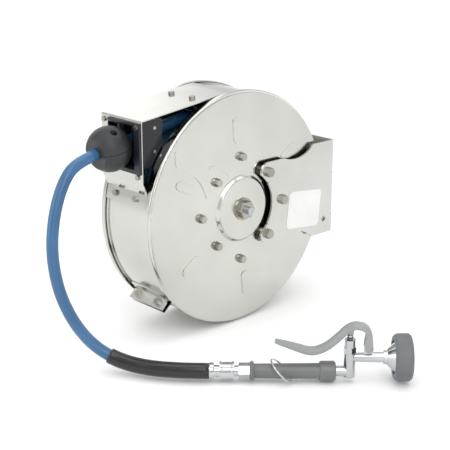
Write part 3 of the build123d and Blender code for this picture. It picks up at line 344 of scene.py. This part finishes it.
def make_sleeve():
    """The sleeve over the hose's last stretch, along the hose's own line."""
    line = points_along(HOSE_ROUTE)
    first = min(range(len(line)), key=lambda i: (line[i] - SLEEVE_START).length)
    line = line[first:]
    rings = []
    for i, centre in enumerate(line):
        ahead = way_at(line, i)
        right = ahead.cross(Vector((0, 0, 1))).normalized()
        up = right.cross(ahead)
        turns = [2 * pi * k / SLEEVE_SIDES for k in range(SLEEVE_SIDES)]
        rings.append([centre + (right * cos(a) + up * sin(a)) * SLEEVE_RADIUS for a in turns])
    bm = bmesh.new()
    skin(bm, rings)
    sleeve = mesh_piece("protective_sleeve", bm, MATERIALS["black_sleeve"], inf)
    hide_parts("hose_sleeve")
    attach(sleeve, "housing")
    return sleeve


def on_valve(along, height, across=0.0):
    """A point this far along the valve, above its middle and to its side."""
    return VALVE_START + VALVE_WAY * along + Vector((0, 0, height)) + VALVE_ACROSS * across


def squarish(angle, half_width, half_thickness):
    """A point on a rounded rectangle, as (across, thick)."""
    c, n = cos(angle), sin(angle)
    return (
        half_width * abs(c) ** LEVER_SQUARENESS * (1 if c >= 0 else -1),
        half_thickness * abs(n) ** LEVER_SQUARENESS * (1 if n >= 0 else -1),
    )


def lever_rings():
    """The lever's section at each point of its line, smaller towards the tip."""
    line = points_along([on_valve(along, height) for along, height in LEVER_ROUTE])
    rings = []
    for i, centre in enumerate(line):
        outward = VALVE_ACROSS.cross(way_at(line, i)).normalized()
        ease = max(0.0, (i / (len(line) - 1) - TAPER_START) / (1 - TAPER_START)) ** 3
        half_width = LEVER_WIDTH / 2 * (1 - TIP_NARROWER * ease)
        half_thickness = LEVER_THICKNESS / 2 * (1 - TIP_THINNER * ease)
        ring = []
        for k in range(LEVER_SIDES):
            w, t = squarish(2 * pi * k / LEVER_SIDES, half_width, half_thickness)
            ring.append(centre + VALVE_ACROSS * w + outward * t)
        rings.append(ring)
    return rings


def add_plate(bm, outline, near, far):
    """A closed plate in bm with this outline in the valve's plane, from near to far across it."""
    skin(bm, [[on_valve(a, h, across) for a, h in outline] for across in (near, far)])


def make_lever():
    """A smooth S from the pivot's two cheeks over the stem and down along the grip."""
    bm = bmesh.new()
    skin(bm, lever_rings())
    cheek = [(PIVOT[0] - CHEEK_HALF_WIDTH, CHEEK_TOP), (PIVOT[0] + CHEEK_HALF_WIDTH, CHEEK_TOP)]
    for step in range(CHEEK_STEPS + 1):
        a = -pi * step / CHEEK_STEPS
        cheek.append((PIVOT[0] + CHEEK_RADIUS * cos(a), PIVOT[1] + CHEEK_RADIUS * sin(a)))
    for side in (-1, 1):
        add_plate(bm, cheek, side * CHEEK_INNER, side * CHEEK_OUTER)
    low, high = PAD_FOOT[1], PAD_FOOT[1] + PAD_HEIGHT
    back, front = PAD_FOOT[0] - PAD_HALF_LENGTH, PAD_FOOT[0] + PAD_HALF_LENGTH
    pad = [(back, low), (front, low), (front, high), (back, high)]
    add_plate(bm, pad, -PAD_HALF_WIDTH, PAD_HALF_WIDTH)
    lever = mesh_piece("squeeze_lever", bm, MATERIALS["grey_lever"], LARGEST_SMOOTH_FACE)
    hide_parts("lever")
    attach(lever, "lever")


def make_label():
    """A plain plate on the near arm's outer face."""
    arm_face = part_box("mounting_bracket")[0].y
    along, height = LABEL_FROM_AXLE
    middle = AXLE + Vector((along, arm_face - LABEL_SIZE.y / 2, height))
    bm = bmesh.new()
    bmesh.ops.create_cube(bm, size=1)
    bmesh.ops.scale(bm, vec=LABEL_SIZE, verts=bm.verts)
    ways = {e: (e.verts[0].co - e.verts[1].co).normalized() for e in bm.edges}
    corners = [e for e, way in ways.items() if abs(way.y) > 0.9]
    bmesh.ops.bevel(bm, geom=corners, offset=LABEL_ROUND, segments=5, affect="EDGES")
    bmesh.ops.rotate(bm, matrix=Matrix.Rotation(LABEL_TILT, 3, "Y"), verts=bm.verts)
    bmesh.ops.translate(bm, vec=middle, verts=bm.verts)
    label = mesh_piece("label_plate", bm, MATERIALS["label"])
    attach(label, "housing")


# Stage, light and camera


def make_floor():
    """A white floor under the object's lowest point."""
    bpy.ops.mesh.primitive_plane_add(size=FLOOR_SIZE, location=(0, 0, cad_box[0].z))
    floor = bpy.context.object
    floor.name = "floor"
    mat, _, shader = new_material("floor_white")
    shader.inputs["Base Color"].default_value = (FLOOR_GREY, FLOOR_GREY, FLOOR_GREY, 1)
    shader.inputs["Roughness"].default_value = 0.9
    floor.data.materials.append(mat)


def make_sky():
    """A world light in grey and white stretches round the horizon."""
    world = bpy.data.worlds.new("studio")
    bpy.context.scene.world = world
    world.use_nodes = True
    tree = world.node_tree

    def math_node(operation):
        node = tree.nodes.new("ShaderNodeMath")
        node.operation = operation
        return node

    way = tree.nodes.new("ShaderNodeTexCoord")
    split = tree.nodes.new("ShaderNodeSeparateXYZ")
    turn, times, wave = math_node("ARCTAN2"), math_node("MULTIPLY"), math_node("SINE")
    times.inputs[1].default_value = SKY_BANDS
    tree.links.new(way.outputs["Generated"], split.inputs[0])
    tree.links.new(split.outputs["X"], turn.inputs[0])
    tree.links.new(split.outputs["Y"], turn.inputs[1])
    tree.links.new(turn.outputs[0], times.inputs[0])
    tree.links.new(times.outputs[0], wave.inputs[0])
    background = tree.nodes["Background"]
    bands = ramp(tree, wave.outputs[0], SKY_GREYS, SKY_EDGES)
    tree.links.new(bands, background.inputs["Color"])
    background.inputs["Strength"].default_value = SKY_STRENGTH


def aim(obj, way):
    """Turns a light or camera to face this way."""
    obj.rotation_euler = way.to_track_quat("-Z", "Y").to_euler()


def make_soft_boxes():
    """Rectangular lights that face the object."""
    for name, (place, size, power) in SOFT_BOXES.items():
        data = bpy.data.lights.new(name, "AREA")
        data.shape = "RECTANGLE"
        data.size, data.size_y = size
        data.energy = power
        box = add_object(name, data)
        box.location = place
        aim(box, Vector(LIT_POINT) - Vector(place))


def make_camera():
    """The camera at the photograph's angle."""
    data = bpy.data.cameras.new("camera")
    data.sensor_width = CAMERA_SENSOR
    data.lens = CAMERA_LENS
    camera = add_object("camera", data)
    camera.location = CAMERA_PLACE
    aim(camera, CAMERA_WAY.normalized())
    bpy.context.scene.camera = camera
    bpy.context.scene.view_settings.view_transform = "Standard"


repaint()
make_camera()
make_wound_hose()
hose = make_free_hose()
sleeve = make_sleeve()
make_lever()
make_label()
make_floor()
make_sky()
make_soft_boxes()
